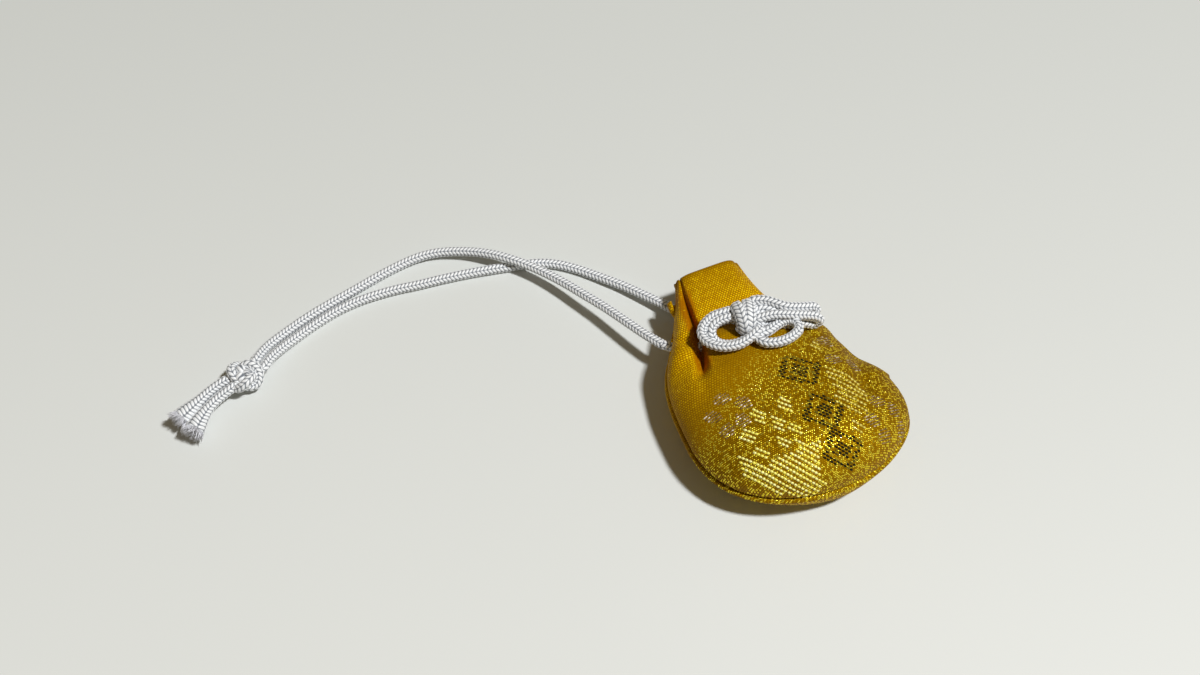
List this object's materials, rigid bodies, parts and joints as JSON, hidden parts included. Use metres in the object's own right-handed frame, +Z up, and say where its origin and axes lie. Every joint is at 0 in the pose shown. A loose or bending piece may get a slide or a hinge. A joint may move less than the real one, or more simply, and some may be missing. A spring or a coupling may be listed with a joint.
{
  "type": "omamori charm",
  "caption": "Padded drawstring pouch charm in gold brocade, tied at the neck with a bow of white braided cord that ends in a knotted hanging strap.",
  "frame": {"origin": "point of the rest face on the table, under the middle of the pouch between its sides, 9.5 mm below the neck", "axes": "+Y from the bottom seam to the mouth, +X to the right, +Z up out of the front panel"},
  "size_m": [0.1255, 0.0806, 0.0194],
  "materials": {
    "brocade": "woven, satin sheen",
    "thread": "spun, satin",
    "cord": "braided, silky sheen",
    "wadding": "matte fibre",
    "paper": "matte",
    "slip": "planed, unfinished"
  },
  "bodies": {
    "pouch": {"front_panel": "brocade", "back_panel": "brocade", "seam_thread": "thread", "front_wadding": "wadding", "back_wadding": "wadding", "slip_wrapper": "paper", "amulet_slip": "slip", "neck_cord_left": "cord", "neck_cord_right": "cord", "knot_core": "cord", "knot_wrap": "cord"},
    "left_ear": {"left_ear_outer": "cord", "left_ear_inner": "cord"},
    "right_ear": {"right_ear_rear": "cord", "right_ear_front": "cord"},
    "lower_ear": {"lower_ear": "cord"},
    "strap": {"strap_strand_front": "cord", "strap_strand_rear": "cord", "end_knot": "cord", "tail_front": "cord", "tail_rear": "cord"}
  },
  "joints": [
    {"name": "left_ear_lift", "type": "hinge", "parent": "pouch", "child": "left_ear", "pos_m": [-0.00535, 0.01003, 0.01646], "axis": [0.2419, 0.9703, 0], "range_deg": [0, 50]},
    {"name": "right_ear_lift", "type": "hinge", "parent": "pouch", "child": "right_ear", "pos_m": [0.00135, 0.00837, 0.01646], "axis": [-0.2419, -0.9703, 0], "range_deg": [0, 50]},
    {"name": "lower_ear_lift", "type": "hinge", "parent": "pouch", "child": "lower_ear", "pos_m": [0.00074, 0.00429, 0.01656], "axis": [-0.9977, 0.0679, 0], "range_deg": [0, 50]},
    {"name": "strap_swing", "type": "hinge", "parent": "pouch", "child": "strap", "pos_m": [-0.0161, 0.0153, 0.0068], "axis": [0.5121, 0.7682, -0.3841], "range_deg": [0, 70]}
  ]
}
